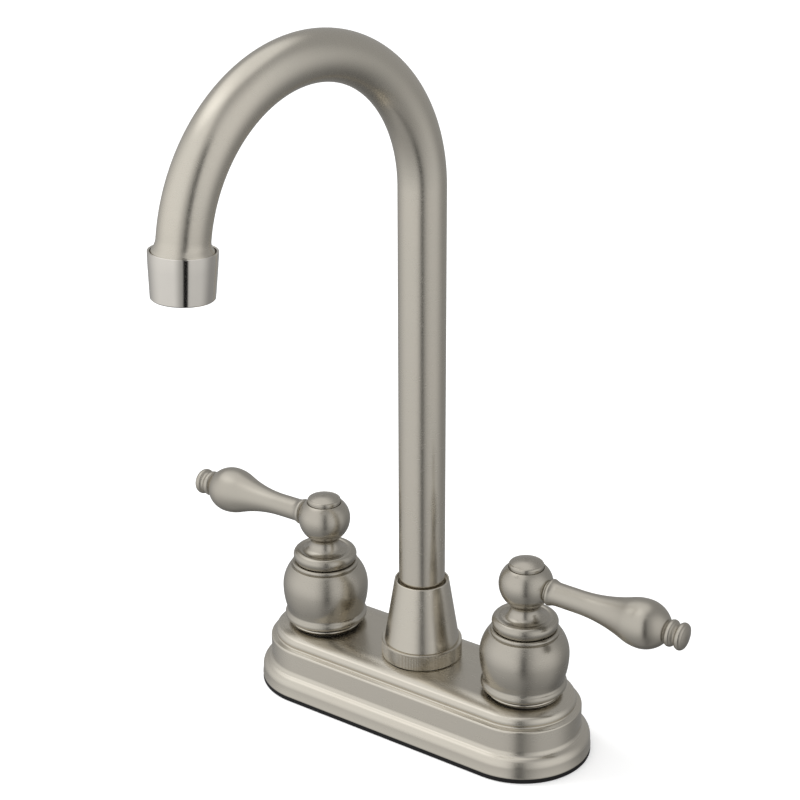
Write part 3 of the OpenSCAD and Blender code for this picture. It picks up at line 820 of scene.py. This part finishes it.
# places on the spout's middle line and the direction there, in the spout's own plane
def tubeRun():
    t = tube
    upright = (0, 0, 1)
    run = [((0, 0, t["foot"]), upright), ((0, 0, t["foot"] + t["footStep"]), upright)]
    for i in range(1, t["straightSteps"]):
        run.append(((0, 0, t["foot"] + (t["bendZ"] - t["foot"]) * i / t["straightSteps"]), upright))
    for i in range(t["steps"] + 1):
        a = radians(t["sweep"] * i / t["steps"])
        run.append(((0, t["bend"] * (cos(a) - 1), t["bendZ"] + t["bend"] * sin(a)), (0, -sin(a), cos(a))))
    end, way = run[-1]
    run.append((tuple(Vector(end) + Vector(way) * t["tail"]), way))
    return run


# the rings of the tube's outer skin, then those of its bore
def tubeVertices(run, lengths):
    t = tube
    vertices = []
    for inward in (0, t["wall"]):
        for (here, way), length in zip(run, lengths):
            # the end opens out like a bell into the aerator's lip
            left = (lengths[-1] - length) / mm - t["tail"]
            opened = min(1, max(0, (t["flareStart"] - left) / (t["flareStart"] - t["flareEnd"])))
            radius = t["radius"] + (t["mouth"] - t["radius"]) * opened ** t["flareCurve"] - inward
            up = Vector((0, way[2], -way[1]))
            for i in range(t["around"]):
                a = 2 * pi * i / t["around"]
                point = Vector(here) + (up * cos(a) + Vector((1, 0, 0)) * sin(a)) * radius
                vertices.append(point * mm)
    return vertices


# both skins, and the two rims that join them
def tubeFaces(count):
    around = tube["around"]
    strips = [(k * around, (k + 1) * around) for k in range(count - 1)]
    strips += [((count + k) * around, (count + k + 1) * around) for k in range(count - 1)]
    strips += [(k * around, (count + k) * around) for k in (0, count - 1)]
    faces = []
    for first, second in strips:
        for i in range(around):
            j = (i + 1) % around
            faces.append((first + i, first + j, second + j, second + i))
    return faces


def makeTube():
    run = tubeRun()
    lengths = [0]
    for (here, way), (before, other) in zip(run[1:], run):
        lengths.append(lengths[-1] + (Vector(here) - Vector(before)).length * mm)
    nickel = satinNickel("satinNickelTube", tubeGrain)
    piece = newPiece("spoutTube", tubeVertices(run, lengths), tubeFaces(len(run)), nickel, "spout",
                     ["spout_tube"], spoutTurn())
    mesh = piece.data
    layer = mesh.uv_layers.new(name="alongTube")
    around = tube["around"]
    for loop in mesh.loops:
        place = loop.vertex_index % (around * len(run))
        layer.data[loop.index].uv = ((place % around) / around, lengths[place // around])
    # a far texture space gives the highlights one direction all along the bend
    mesh.use_auto_texspace = False
    mesh.texspace_location = (0, 10, 0)
    mesh.texspace_size = (1, 1, 1)


# the end of the tube's bend, which the aerator hangs from, with Z pointing out of the mouth
def spoutEnd():
    t = tube
    a = radians(t["sweep"])
    place = Matrix.Translation((0, t["bend"] * (cos(a) - 1) * mm, (t["bendZ"] + t["bend"] * sin(a)) * mm))
    return spoutTurn() @ place @ Matrix.Rotation(a, 4, "X")


aerator = {
    "lipBack": 1.9, "length": 17.4, "lipRadius": 12.275, "endRadius": 11.375, "bore": 10.125,
    "mouth": 11.45, "lip": 0.4, "chamfer": 0.4,
}


def makeAerator():
    e = aerator
    end = e["length"] - e["lipBack"]
    lipZ = e["lip"] - e["lipBack"]
    outline = [(e["mouth"], tube["tail"]), (e["mouth"], lipZ)]
    outline += arc(e["lipRadius"] - e["lip"], lipZ, e["lip"], 180, 0, 10)[1:]
    outline += [(e["lipRadius"] - 0.05, 1.0), (e["lipRadius"] - 0.2, 4.0),
                (e["endRadius"], end - e["chamfer"]), (e["endRadius"] - e["chamfer"], end),
                (e["bore"], end), (e["bore"], tube["tail"])]
    vertices, faces = turnedShape(softened(outline, 0.15))
    newPiece("aeratorShell", vertices, faces, polished, "spout", ["aerator_shell"],
             spoutEnd())


makeTube()
makeAerator()
print("spout made")


shank = {
    "length": 50.0, "radius": 10.3, "bore": 7.0, "pitch": 1.814, "depth": 0.95, "flat": 0.16,
    "around": 96, "ringsPerTurn": 8, "lead": 0.3, "start": 0.5,
    "relief": -34.5, "reliefLength": 1.5, "reliefIn": 1.0, "reliefSlope": 0.2,
    "barrel": 3.0, "runOut": 3.5, "fade": 0.4, "spigot": 9.0, "socket": 6.0,
}


def makeShank(side, name):
    s = shank
    root = s["radius"] - s["depth"]

    # a straight pipe thread, cut as one helix with flat crests
    def thread(i, radius, height):
        if radius < s["radius"] - 0.01:
            return 0
        phase = abs((height / s["pitch"] - i / s["around"]) % 1 - 0.5) * 2
        return -s["depth"] * min(1, max(0, phase - s["flat"]) / (1 - 2 * s["flat"]))

    def threaded(low, high):
        count = ceil((high - low) / s["pitch"] * s["ringsPerTurn"])
        return [(s["radius"], low + (high - low) * i / count) for i in range(count + 1)]

    end = -s["length"]
    groove, slope = s["radius"] - s["reliefIn"], s["reliefSlope"]
    reliefTop = s["relief"] + s["reliefLength"]
    crestsTop = s["barrel"] - s["runOut"]
    outline = [(s["bore"], end), (root - s["lead"], end), (root, end + s["start"])]
    outline += threaded(end + s["start"] + s["lead"], s["relief"])
    outline += [(groove, s["relief"] + slope), (groove, reliefTop - slope)]
    outline += threaded(reliefTop, crestsTop)
    outline += [(root, crestsTop + s["fade"]), (root, s["barrel"]), (s["spigot"], s["barrel"]),
                (s["spigot"], s["socket"]), (s["bore"], s["socket"])]
    vertices, faces = turnedShape(outline, s["around"], thread)
    newPiece(name + "Shank", vertices, faces, partFinishes["brass"], "fixture",
             [name + "_shank"], valvePlace(side))


partFinishes = {
    "satin_nickel": turned,
    "bright_nickel": polished,
    "brass": machinedMetal("machinedBrass", (0.76, 0.58, 0.30, 1), (0.62, 0.44, 0.20, 1), roughness=0.24),
    "steel": machinedMetal("plainSteel", (0.66, 0.66, 0.66, 1), (0.52, 0.52, 0.53, 1), roughness=0.3),
    "black_rubber": blackRubber,
    "nylon": mouldedFinish("nylon", (0.84, 0.83, 0.78, 1), (0.76, 0.75, 0.70, 1),
                           roughness=0.42, grain=1800, depth=0.00001),
    "ceramic": mouldedFinish("ceramic", (0.92, 0.91, 0.87, 1), (0.88, 0.87, 0.83, 1),
                             roughness=0.18, grain=3500, depth=0.000004),
}
for part in frame["record"]["subparts"]:
    node = frame["nodes"][part["node"]]
    node.data.materials.clear()
    node.data.materials.append(partFinishes[part["material_slot"]])
for side, name in sides:
    makeShank(side, name)
print("shanks threaded")


# angles are in degrees; azimuths are counted from the camera, positive to its right
studio = {
    "floorColour": (0.86, 0.86, 0.86, 1),
    "floorGlow": 0.42,
    "floorRadius": 4.0,
    "floorDrop": 0.0001,
    "roomTone": 0.42,
    "lowTone": 0.40,
    "lowRise": (-62, 8),
    "leftPanel": {"light": 0.62, "outer": (-165, -75), "inner": (8, -30), "top": (88, 58)},
    "rightPanel": {"light": 0.46, "outer": (112, 62), "inner": (-4, 36), "top": (74, 30)},
    "softbox": {"light": 0.6, "azimuth": -140, "height": 68, "edge": (40, 22)},
    "flag": {"away": 0.44, "halfWidth": 0.052, "soft": 0.02, "low": -0.35, "high": 0.62,
             "lowSoft": 0.2, "highSoft": 0.12},
    "key": {"place": (-0.73, -0.17, 1.3), "aim": (0, -0.03, 0.10), "size": 0.35, "power": 6.0},
}


def makeFloor():
    material, finish = newFinish("paleFloor")
    seen = finish.node("ShaderNodeLightPath", out="Is Camera Ray")
    plain = finish.node("ShaderNodeBsdfDiffuse", None, {"Color": studio["floorColour"]})
    glow = finish.node("ShaderNodeEmission", None, {"Color": (1, 1, 1, 1), "Strength": studio["floorGlow"]})
    bright = finish.node("ShaderNodeAddShader", None, {0: plain, 1: glow})
    finish.output(finish.node("ShaderNodeMixShader", None, {0: seen, 1: plain, 2: bright}))
    mesh = bpy.data.meshes.new("floor")
    disc = bmesh.new()
    bmesh.ops.create_circle(disc, cap_ends=True, segments=128, radius=studio["floorRadius"])
    disc.to_mesh(mesh)
    disc.free()
    mesh.materials.append(material)
    floor = bpy.data.objects.new("floor", mesh)
    floor.location = (0, 0, -studio["floorDrop"])  # just clear of the gasket's underside
    floor.visible_glossy = False
    bpy.context.scene.collection.objects.link(floor)


def makeWorld():
    world = bpy.data.worlds.new("studio")
    bpy.context.scene.world = world
    finish = Finish(world)
    way = finish.node("ShaderNodeTexCoord", out="Generated")
    a = radians(viewpoint["azimuth"])
    ahead = finish.vector("DOT_PRODUCT", way, (sin(a), -cos(a), 0), "Value")
    right = finish.vector("DOT_PRODUCT", way, (cos(a), sin(a), 0), "Value")
    x, y, z = finish.parts(way)
    azimuth = right.maths("ARCTAN2", ahead) * (180 / pi)
    elevation = z.maths("ARCSINE") * (180 / pi)

    # a tall panel at one side of the camera, with soft edges
    def panel(p):
        across = finish.eased(azimuth, *p["outer"]) * finish.eased(azimuth, *p["inner"])
        return across * finish.eased(elevation, *p["top"]) * p["light"]

    # a soft box high on the left, slightly behind the faucet
    box = studio["softbox"]
    turn, up = a + radians(box["azimuth"]), radians(box["height"])
    towardsBox = (sin(turn) * cos(up), -cos(turn) * cos(up), sin(up))
    facing = finish.vector("DOT_PRODUCT", way, towardsBox, "Value")
    softbox = finish.eased(facing, *[cos(radians(angle)) for angle in box["edge"]]) * box["light"]
    level = finish.eased(elevation, *studio["lowRise"], studio["lowTone"], 1.0)
    panels = panel(studio["leftPanel"]) + panel(studio["rightPanel"])
    light = (studio["roomTone"] + panels + softbox) * level
    shade = finish.combined(light, light, light)
    room = finish.node("ShaderNodeBackground", None, {"Color": shade, "Strength": 1.0})
    backdrop = finish.node("ShaderNodeBackground", None, {"Color": (1, 1, 1, 1), "Strength": 1.0})
    seen = finish.node("ShaderNodeLightPath", out="Is Camera Ray")
    finish.output(finish.node("ShaderNodeMixShader", None, {0: seen, 1: room, 2: backdrop}),
                  "ShaderNodeOutputWorld")
    # light straight from the world would pass by the flag, so the world isn't sampled as a lamp
    world.cycles.sampling_method = "NONE"


# a narrow black flag between the camera and the faucet, which only reflections see
def makeFlag():
    f = studio["flag"]
    material, finish = newFinish("blackFlag")
    x, y, z = finish.parts(finish.place())
    cover = finish.eased(x.size(), f["halfWidth"] + f["soft"], f["halfWidth"] - f["soft"])
    cover = cover * finish.eased(z, f["low"], f["low"] + f["lowSoft"])
    cover = cover * finish.eased(z, f["high"], f["high"] - f["highSoft"])
    black = finish.node("ShaderNodeBsdfDiffuse", None, {"Color": (0.01, 0.01, 0.01, 1)})
    clear = finish.node("ShaderNodeBsdfTransparent")
    finish.output(finish.node("ShaderNodeMixShader", None, {0: cover, 1: clear, 2: black}))
    wide = f["halfWidth"] + f["soft"]
    mesh = bpy.data.meshes.new("blackFlag")
    corners = [(-wide, 0, f["low"]), (wide, 0, f["low"]), (wide, 0, f["high"]), (-wide, 0, f["high"])]
    mesh.from_pydata(corners, [], [(0, 1, 2, 3)])
    mesh.materials.append(material)
    flag = bpy.data.objects.new("blackFlag", mesh)
    turn = Matrix.Rotation(radians(viewpoint["azimuth"]), 4, "Z")
    flag.matrix_world = turn @ Matrix.Translation((0, -f["away"], 0))
    flag.visible_camera = flag.visible_diffuse = flag.visible_transmission = flag.visible_shadow = False
    bpy.context.scene.collection.objects.link(flag)


def makeKeyLamp():
    key = studio["key"]
    data = bpy.data.lights.new("keyLamp", "AREA")
    data.shape = "DISK"
    data.size = key["size"]
    data.energy = key["power"]
    lamp = bpy.data.objects.new("keyLamp", data)
    lamp.visible_glossy = False
    lamp.location = key["place"]
    aim = Vector(key["aim"]) - Vector(key["place"])
    lamp.rotation_euler = aim.to_track_quat("-Z", "Y").to_euler()
    bpy.context.scene.collection.objects.link(lamp)


makeFloor()
makeWorld()
makeFlag()
makeKeyLamp()
bpy.context.scene.view_settings.view_transform = "Standard"
print("stage lit")
